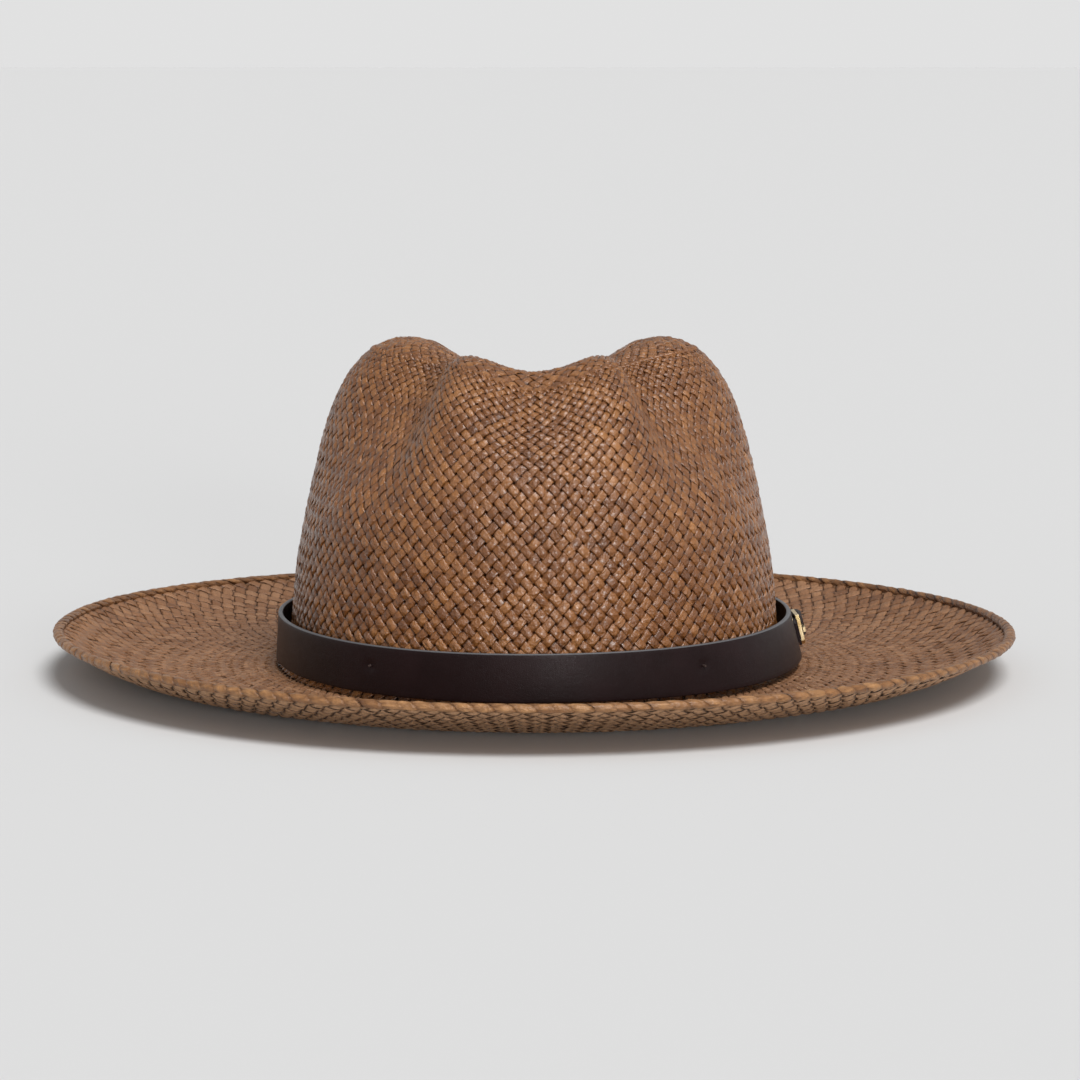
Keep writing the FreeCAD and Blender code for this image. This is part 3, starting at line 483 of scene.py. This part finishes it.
def weave(name, surface, strands, rows, material, seed, pieces=2, narrow=None):
    """A plain weave on the bias: two families of strands that lean opposite ways round the hat.

    surface(angle, run) gives the outer face. The rows are spaced so that the cells stay square, by
    the table that rows holds: (row numbers, runs).
    """
    random = np.random.default_rng(seed)
    row_numbers, runs = rows
    last = row_numbers[-1]
    count = int(last * STEPS) + 1
    along = np.arange(count) / STEPS
    per_piece = int(math.ceil(strands / pieces))
    for family in (-1.0, 1.0):
        cell = np.round(along).astype(int)

        def by_cell(reach):
            """A random number for each place where a strand shows."""
            return random.uniform(-reach, reach, (strands, cell[-1] + 1))[:, cell]

        width = HALF_STRAND + random.uniform(-0.030, 0.012, (strands, 1))
        width = width + 0.020 * soft_noise(random, strands, count, 2.0 * STEPS)
        wander = 0.035 * soft_noise(random, strands, count, 3.0 * STEPS)
        roll = by_cell(0.15)
        lift = by_cell(0.06)
        crease = by_cell(0.50)
        fold = by_cell(0.35)
        tone = random.normal(0.5, 0.07, (strands, 1)) + by_cell(0.20)
        tone = np.clip(tone + 0.08 * soft_noise(random, strands, count, 4.0 * STEPS), 0.0, 1.0)
        if narrow is not None:
            width = width * narrow(along / last)[None, :]
        number = np.arange(strands)[:, None, None]
        across = SECTION[None, None, :] * width[:, :, None] + wander[:, :, None]
        crown_line = np.abs(SECTION[None, None, :] - 0.05) < 0.01
        across = across + crown_line * crease[:, :, None] * width[:, :, None]
        row = along[None, :, None] - family * across
        angle = math.pi * (2.0 * number + family * along[None, :, None] + across) / strands
        run = np.interp(row, row_numbers, runs)
        wave = -family * np.cos(math.pi * along)
        wave = np.sign(wave) * np.abs(wave) ** 0.8
        puff = PUFF * (1.0 + fold[:, :, None] + 0.25 * random.uniform(-1.0, 1.0, (strands, count, 7)))
        height = WAVE * wave[None, :, None] + lift[:, :, None] + roll[:, :, None] * SECTION[None, None, :]
        height = height + np.where(SIDE > 0, puff * TOP, -EDGE * (SIDE < 0))
        point = surface(angle, run)
        normal = outward(surface, angle, run, point, 0.02)
        normal = np.where(normal[..., 2:] < -0.6, -normal, normal)
        point = (point + normal * (height - MID_DEPTH)[..., None]) * MM
        # painted shade: how high a point stands, seen from its own side; low points are darkened in the
        # straw material
        facing = np.where(SIDE < 0.0, -height - PUFF * 0.5, height)
        raised = np.clip((facing + WAVE) / (2.0 * WAVE + PUFF), 0.0, 1.0)
        uv_across = np.broadcast_to(SECTION * 0.5 + number * 3.7, row.shape)
        uv_along = np.broadcast_to(along[None, :, None], row.shape)
        uv = np.stack([uv_across, uv_along], axis=-1)
        for part in range(pieces):
            chosen = slice(part * per_piece, min((part + 1) * per_piece, strands))
            some = point[chosen]
            one = grid_faces(count, len(SECTION), close_columns=True)
            offsets = np.arange(len(some))[:, None, None] * count * len(SECTION)
            faces = (one[None] + offsets).reshape(-1, 4)
            if family > 0:
                faces = faces[:, ::-1]
            side = "left" if family < 0 else "right"
            values = {
                "tone": np.broadcast_to(tone[chosen][:, :, None], some.shape[:3]).ravel(),
                "raised": raised[chosen].ravel(),
                # painted light: the strands' lower sides take the pale underside colour
                "under": np.broadcast_to(np.where(SIDE < 0.0, PAINTED_UNDER_LIGHT, 0.0), some.shape[:3]).ravel(),
            }
            piece = make_piece(
                f"{name}_{side}_{part + 1}", "hat", some.reshape(-1, 3), faces, material,
                uv[chosen].reshape(-1, 2), values,
            )
            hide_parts("straw_body")


def square_rows(run, radius, strands):
    """Row numbers against run, for square cells: a row is as tall as it is wide."""
    middle = (radius[1:] + radius[:-1]) / 2.0
    rows = np.concatenate([[0.0], np.cumsum(np.diff(run) / middle)]) * strands / math.pi
    return rows, run


def crown_zone(name, low, high, strands, seed, pieces=1):
    """One zone of the crown's weave, between two lengths up from the brim."""
    run = np.linspace(low, high, 600)
    radius = np.interp(run, CROWN_RUN, CROWN_RADIUS) * MEAN_HALF
    rows, runs = square_rows(run, radius, strands)
    # whole rows only: the last one is stretched a little to end at the zone's edge
    rows = rows * math.floor(rows[-1]) / rows[-1]
    weave(name, crown_surface, strands, (rows, runs), CROWN_STRAW, seed, pieces=pieces)


def run_at_radius(share):
    """How far up the crown its radius has shrunk to a share of the full one."""
    return float(np.interp(-share, -CROWN_RADIUS, CROWN_RUN))


# name, the crown's radius at the zone's foot and top as a share of the full one, strands, pieces
ZONES = (
    ("crown_wall", 1.2, 0.66, WALL_STRANDS, 3),
    ("crown_top_1", 0.68, 0.42, 76, 1),
    ("crown_top_2", 0.44, 0.26, 48, 1),
    ("crown_top_3", 0.28, 0.15, 30, 1),
    ("crown_top_4", 0.17, 0.07, 18, 1),
)
for index, (zone, low_share, high_share, strand_count, piece_count) in enumerate(ZONES):
    low_run = 0.3 if low_share > 1.0 else run_at_radius(low_share)
    crown_zone(zone, low_run, run_at_radius(high_share), strand_count, 11 + index, piece_count)


def ring_strand(name, run, strands, seed):
    """A pair of strands twined round the crown, where the weave's strand count changes."""
    random = np.random.default_rng(seed)
    steps = strands * 8
    angle = np.linspace(0.0, 2.0 * math.pi, steps, endpoint=False)
    turns = np.linspace(0.0, 2.0 * math.pi, 8, endpoint=False)
    for ply in (0.0, math.pi):
        phase = angle * strands / 2.0 + ply
        mid_run = run + 0.75 * np.cos(phase)
        mid_height = 0.45 * np.sin(phase) - 0.15
        run_grid = mid_run[:, None] + 0.95 * np.cos(turns)[None, :]
        height = mid_height[:, None] + 0.34 * np.sin(turns)[None, :]
        angles = np.broadcast_to(angle[:, None], run_grid.shape)
        point = crown_surface(angles, run_grid)
        normal = outward(crown_surface, angles, run_grid, point, 0.03)
        point = (point + normal * (height - 0.3)[..., None]) * MM
        tone = 0.45 + 0.2 * soft_noise(random, 1, steps, 24.0)[0]
        uv = np.stack([np.broadcast_to(turns / 6.3, run_grid.shape), angles * strands / 6.3], axis=-1)
        # painted shade: the "raised" values darken the lower parts of the twined strands
        values = {
            "tone": np.broadcast_to(tone[:, None], run_grid.shape).ravel(),
            "raised": np.clip(0.55 + height, 0.0, 1.0).ravel(),
        }
        faces = grid_faces(steps, 8, close_rows=True, close_columns=True)
        piece = make_piece(
            f"{name}_{'a' if ply == 0.0 else 'b'}", "hat", point.reshape(-1, 3), faces,
            CROWN_STRAW, uv.reshape(-1, 2), values,
        )
        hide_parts("straw_body")


for index, (zone, low_share, _, strand_count, _) in enumerate(ZONES[1:]):
    ring_strand(f"{zone}_row", run_at_radius(low_share - 0.01), strand_count * 2, 41 + index)


def crown_rosette():
    """The small star of strands in the middle of the tip, where the weaving starts."""
    inner = run_at_radius(0.004)
    outer = run_at_radius(0.085)
    spokes = 16
    sunk = 0.45
    across = np.linspace(-1.0, 1.0, 5)
    along = np.linspace(0.0, 1.0, 10)
    points, faces, uvs, tones, raised = [], [], [], [], []
    for spoke in range(spokes):
        middle = 2.0 * math.pi * spoke / spokes
        run = mix(inner, outer, along)[:, None] * np.ones((1, 5))
        radius = np.interp(run, CROWN_RUN, CROWN_RADIUS) * MEAN_HALF
        angle = middle + across[None, :] / np.maximum(radius, 1.0)
        point = crown_surface(angle, run)
        lift = 0.25 * np.cos(math.pi * along * 4.0 + math.pi * spoke)[:, None] - 0.25 * across[None, :] ** 2
        point[..., 2] += lift - sunk
        faces.append(grid_faces(10, 5) + spoke * 50)
        points.append(point.reshape(-1, 3) * MM)
        uv = np.stack([np.broadcast_to(across, run.shape), along[:, None] * np.full_like(run, 5.0)], -1)
        uvs.append(uv.reshape(-1, 2))
        tones.append(np.full(50, 0.35 + 0.3 * ((spoke * 7) % 5) / 5.0))
        # painted shade: the sunk parts of the spokes are darkened through "raised"
        raised.append(np.clip(0.75 + lift, 0.0, 1.0).ravel())
    piece = make_piece(
        "crown_rosette", "hat", np.concatenate(points), np.concatenate(faces), CROWN_STRAW,
        np.concatenate(uvs), {"tone": np.concatenate(tones), "raised": np.concatenate(raised)},
    )
    solid = piece.modifiers.new("thickness", "SOLIDIFY")
    solid.thickness = 0.3 * MM
    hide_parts("straw_body")


crown_rosette()

# the brim, from just inside the wall's foot out to the rim
brim_run = np.linspace(-1.5, BRIM_RUN, 600)
brim_rows, brim_runs = square_rows(brim_run, MEAN_HALF + FILLET + brim_run, BRIM_STRANDS)
brim_rows = brim_rows * math.floor(brim_rows[-1]) / brim_rows[-1]
weave(
    "brim", brim_surface, BRIM_STRANDS, (brim_rows, brim_runs), BRIM_STRAW, 23, pieces=3,
    narrow=lambda share: 1.0 - 0.16 * smooth((share - 0.93) / 0.05),
)


def edge_backing():
    """A thin sheet that stands for turned-back strand ends, and fills the weave's gaps by the edge."""
    random = np.random.default_rng(37)
    count = 640
    rows = 26
    angle = np.linspace(0.0, 2.0 * math.pi, count, endpoint=False)[:, None]
    run = np.linspace(BRIM_RUN - BACKING, BRIM_RUN + 0.6, rows)[None, :]
    ragged = 2.5 * soft_noise(random, 1, count, 3.0)[0]
    run = run + ragged[:, None] * smooth((BRIM_RUN - run) / BACKING)
    point = brim_surface(angle * np.ones_like(run), run)
    point[..., 2] += 0.06 * soft_noise(random, count, rows, 1.5) - MID_DEPTH
    tone = 0.5 + 0.18 * soft_noise(random, rows, count, 2.0).T
    uv = np.stack([angle * BRIM_STRANDS / 2.0 * np.ones_like(run), run / 4.0], axis=-1)
    # painted shade and painted light: "raised" at 0.45 darkens the whole sheet, and "under" at 0.25 pales
    # it a little towards the underside colour
    values = {"tone": tone.ravel(), "raised": np.full(tone.size, 0.45), "under": np.full(tone.size, 0.25)}
    piece = make_piece(
        "edge_backing", "hat", point.reshape(-1, 3) * MM, grid_faces(count, rows, close_rows=True),
        BRIM_STRAW, uv.reshape(-1, 2), values,
    )
    solid = piece.modifiers.new("thickness", "SOLIDIFY")
    solid.thickness = 0.12 * MM
    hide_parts("straw_body")


edge_backing()


def rim_wraps():
    """Strand ends turned back over the rim, each lying over the last like the turns of a rope."""
    random = np.random.default_rng(31)
    wraps = 176
    steps = 15
    section = 7
    turn = np.linspace(math.radians(215.0), math.radians(-115.0), steps)
    points, faces, uvs, tones, raised = [], [], [], [], []
    across = np.array([-1.0, -0.55, 0.05, 0.60, 1.0, 0.40, -0.40])
    puff = np.array([0.0, 0.75, 1.0, 0.62, 0.05, 0.0, 0.0])
    for wrap in range(wraps):
        share = np.linspace(0.0, 1.0, steps)
        lean = mix(-0.75, 0.55, share) + 0.35 * np.sin(math.pi * share) + 0.14 * random.uniform(-1.0, 1.0)
        wide = 0.72 * (1.0 + 0.16 * random.uniform(-1.0, 1.0))
        pitch = 2.0 * math.pi / wraps
        angle = pitch * (wrap + lean[:, None] + across[None, :] * wide)
        shingle = 0.16 * across[None, :]
        bulge = 0.42 * puff[None, :] * (1.0 + 0.35 * random.uniform(-1.0, 1.0, (steps, section)))
        out = -0.42 + shingle + bulge
        half_wide = RIM_WIDTH / 2.0 - 0.35 + out
        half_tall = RIM_HEIGHT / 2.0 - 0.40 + out
        centre = rim_centre(angle)
        side = half_wide * np.cos(turn)[:, None]
        point = centre.copy()
        point[..., 0] += side * np.cos(angle)
        point[..., 1] += side * np.sin(angle)
        point[..., 2] += half_tall * np.sin(turn)[:, None]
        faces.append(grid_faces(steps, section, close_columns=True)[:, ::-1] + wrap * steps * section)
        points.append(point.reshape(-1, 3) * MM)
        along = np.linspace(0.0, 3.0, steps)[:, None] * np.ones((1, section))
        uv = np.stack([np.broadcast_to(across * 0.5 + wrap * 2.3, along.shape), along], -1)
        uvs.append(uv.reshape(-1, 2))
        # painted light: wraps towards the front get a paler tone, as if lit from the front
        front = smooth((0.2 - math.sin(pitch * wrap)) / 1.0)
        tones.append(np.full(steps * section, np.clip(random.normal(0.30 + 0.28 * front, 0.12), 0.05, 1.0)))
        # painted shade: the sunk parts of each wrap are darkened through "raised"
        raised.append(np.clip(0.30 + 0.7 * (shingle + bulge), 0.0, 1.0).ravel())
    piece = make_piece(
        "rim_wraps", "hat", np.concatenate(points), np.concatenate(faces), RIM_STRAW,
        np.concatenate(uvs), {"tone": np.concatenate(tones), "raised": np.concatenate(raised)},
    )
    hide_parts("brim_rim")


rim_wraps()


# ---------------------------------------------------------------- leather band and sweatband
def ellipse_ring(offsets, heights, count):
    """Points on ellipses round the crown: offsets and heights are (count, section) grids."""
    angle = np.linspace(0.0, 2.0 * math.pi, count, endpoint=False)[:, None]
    x = (HALF_WIDTH + offsets) * np.cos(angle)
    y = (HALF_LENGTH + offsets) * np.sin(angle)
    return np.stack([x, y, np.broadcast_to(heights, x.shape)], axis=-1)


def strip_section(thickness, height, round_off, rows):
    """(in or out, up) pairs round a leather strip with softened edges."""
    ups = np.linspace(-height / 2.0 + round_off, height / 2.0 - round_off, rows)
    half = thickness / 2.0
    turns = np.linspace(0.0, math.pi / 2.0, 4)[1:]
    corner_out = half - round_off * (1.0 - np.cos(turns))
    corner_up = height / 2.0 - round_off * (1.0 - np.sin(turns))
    corner = list(zip(corner_out, corner_up))
    right = [(half, up) for up in ups] + corner
    left = [(-out, up) for out, up in reversed(right)]
    lower = [(-out, -up) for out, up in corner]
    lower += [(out, -up) for out, up in corner[-2::-1]]
    return np.array(right + left + lower)


def band_offsets(angle):
    """How far the band's outer face stands off the crown ellipse, at its top and its bottom."""
    lean = mix(0.9, BUCKLE_LEAN, smooth((np.cos(angle) - 0.25) / 0.55))
    stand = BAND_GAP + BAND_THICKNESS
    return np.full_like(lean, stand), stand + lean


def hatband():
    """The wide strap round the crown, with a raw paler top edge and a dimple at each tack."""
    count = 720
    angle = np.linspace(0.0, 2.0 * math.pi, count, endpoint=False)[:, None]
    section = strip_section(BAND_THICKNESS, BAND_HEIGHT, 0.42, 13)
    top, bottom = band_offsets(angle)
    up_share = (section[:, 1][None, :] + BAND_HEIGHT / 2.0) / BAND_HEIGHT
    face = mix(bottom, top, up_share)
    # gentle hand-cut unevenness
    face = face + 0.10 * np.sin(3.0 * angle + 0.7) + 0.06 * np.sin(7.0 * angle)
    offsets = face - BAND_THICKNESS / 2.0 + section[:, 0][None, :] - 0.14
    heights = BAND_BOTTOM + BAND_HEIGHT / 2.0 + section[:, 1][None, :] + 0.12 * np.sin(4.0 * angle + 1.0)
    outside = (section[:, 0] > 0.5)[None, :]
    for degrees in TACK_ANGLES:
        near = angle - math.radians(degrees)
        near = (near + math.pi) % (2.0 * math.pi) - math.pi
        reach = np.hypot(near * MEAN_HALF / 2.3, (heights - 13.4) / 1.5)
        offsets = offsets - outside * 0.55 * np.exp(-reach**2)
    raw = smooth((section[:, 1] - (BAND_HEIGHT / 2.0 - 0.36)) / 0.12)
    raw = np.broadcast_to(raw[None, :], offsets.shape)
    points = ellipse_ring(offsets, heights, count)
    faces = grid_faces(count, len(section), close_rows=True, close_columns=True)[:, ::-1]
    piece = make_piece(
        "leather_band", "hat", points.reshape(-1, 3) * MM, faces[:, ::-1], BAND_LEATHER,
        values={"raw": raw.ravel()},
    )
    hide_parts("hatband")


hatband()


def wall_offset(z):
    """How far the crown's wall has drawn in at a height."""
    z = np.maximum(np.asarray(z, dtype=float), STRAW + FILLET)
    return (np.interp(z / HEIGHT, CROWN_HEIGHT, CROWN_RADIUS) - 1.0) * MEAN_HALF


def sweatband():
    """The soft leather strip inside, with softened edges and a slight ripple near its top."""
    count = 480
    angle = np.linspace(0.0, 2.0 * math.pi, count, endpoint=False)[:, None]
    section = strip_section(SWEAT_THICKNESS, SWEAT_HEIGHT, 0.35, 13)
    z = SWEAT_BOTTOM + SWEAT_HEIGHT / 2.0 + section[:, 1][None, :]
    ripple = 0.20 * np.sin(9.0 * angle) * smooth((z - 20.0) / 14.0)
    face = SWEAT_FACE + 1.25 * wall_offset(z) - SWEAT_THICKNESS / 2.0 - 0.15
    offsets = face + section[:, 0][None, :] + ripple
    points = ellipse_ring(offsets, z, count)
    faces = grid_faces(count, len(section), close_rows=True, close_columns=True)
    piece = make_piece(
        "sweat_leather", "hat", points.reshape(-1, 3) * MM, faces, SWEAT_LEATHER,
        values={"raw": np.zeros(points.size // 3)},
    )
    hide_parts("sweatband")


sweatband()


# ---------------------------------------------------------------- CAD nodes that stay, with new materials
def finish_node(node, material):
    """Gives a CAD node its material."""
    mesh = NODES[node].data
    mesh.materials.clear()
    mesh.materials.append(material)


for node_name in ("buckle_frame", "buckle_bar", "buckle_prong"):
    finish_node(node_name, BRASS)
for node_name in ("buckle_strap", "buckle_chape", "strap_keeper"):
    finish_node(node_name, BAND_LEATHER)
for node_name in ("sweatband_stitches", "band_tacks", "strap_stitches"):
    finish_node(node_name, THREAD)
finish_node("sweatband_bow", RIBBON)
finish_node("sweatband_reed", plain_material("reed", (0.10, 0.06, 0.04), (0.15, 0.095, 0.06), 0.5))
finish_node("rim_wire", plain_material("spring_wire", (0.45, 0.45, 0.45), (0.6, 0.6, 0.6), 0.3, 1.0))


# ---------------------------------------------------------------- floor, light and camera
FLOOR_LIGHT = 0.755     # how bright the open floor and the horizon look
DOME_LIGHT = 0.36


def add_floor():
    """A plain pale floor that runs off to the horizon."""
    material, _, shader = new_material("pale_floor")
    pale = 0.645
    shader.inputs["Base Color"].default_value = (pale, pale, pale, 1.0)
    shader.inputs["Roughness"].default_value = 1.0
    shader.inputs["Specular IOR Level"].default_value = 0.0
    reach = 150.0
    corners = [(-reach, -reach, 0.0), (reach, -reach, 0.0), (reach, reach, 0.0), (-reach, reach, 0.0)]
    mesh = bpy.data.meshes.new("studio_floor")
    mesh.from_pydata(corners, [], [(0, 1, 2, 3)])
    mesh.materials.append(material)
    floor = bpy.data.objects.new("studio_floor", mesh)
    floor.location.z = cad_box[0][2]
    bpy.context.scene.collection.objects.link(floor)


def add_light(name, azimuth, elevation, strength, spread):
    """A broad, far-off lamp, so that the floor is lit evenly. Azimuth 90 is the buckle's side."""
    lamp = bpy.data.lights.new(name, "SUN")
    lamp.energy = strength
    lamp.angle = math.radians(spread)
    item = bpy.data.objects.new(name, lamp)
    item.rotation_euler = (math.radians(90.0 - elevation), 0.0, math.radians(azimuth))
    bpy.context.scene.collection.objects.link(item)


def add_camera():
    """A long lens, a little above the hat, straight from the front."""
    lens = bpy.data.cameras.new("camera")
    lens.lens = 128.0
    lens.sensor_width = 36.0
    lens.shift_x = 0.0053
    lens.shift_y = -0.0125
    camera = bpy.data.objects.new("camera", lens)
    away = 1.370
    elevation = math.radians(6.9)
    camera.location = (0.0, -away * math.cos(elevation), 0.050 + away * math.sin(elevation))
    camera.rotation_euler = (math.pi / 2.0 - elevation, 0.0, 0.0)
    bpy.context.scene.collection.objects.link(camera)
    bpy.context.scene.camera = camera


def add_world():
    """A surround as pale as the floor along the horizon, and dimmer above for the straw's contrast."""
    world = bpy.data.worlds.new("studio")
    world.use_nodes = True
    tree = world.node_tree
    background = tree.nodes["Background"]
    place = add_node(tree, "ShaderNodeTexCoord").outputs["Generated"]
    up = add_node(tree, "ShaderNodeSeparateXYZ", {"Vector": place}).outputs["Z"]
    dome = (DOME_LIGHT, DOME_LIGHT, DOME_LIGHT)
    horizon = (FLOOR_LIGHT, FLOOR_LIGHT, FLOOR_LIGHT)
    colour = colour_ramp(tree, up, [(0.0, horizon), (0.10, horizon), (0.30, dome)])
    tree.links.new(colour, background.inputs["Color"])
    bpy.context.scene.world = world


add_floor()
add_light("front", 16.0, 5.0, 1.55, 16.0)
add_light("top", 28.0, 60.0, 2.6, 30.0)
add_world()
add_camera()
bpy.context.scene.view_settings.view_transform = "Standard"
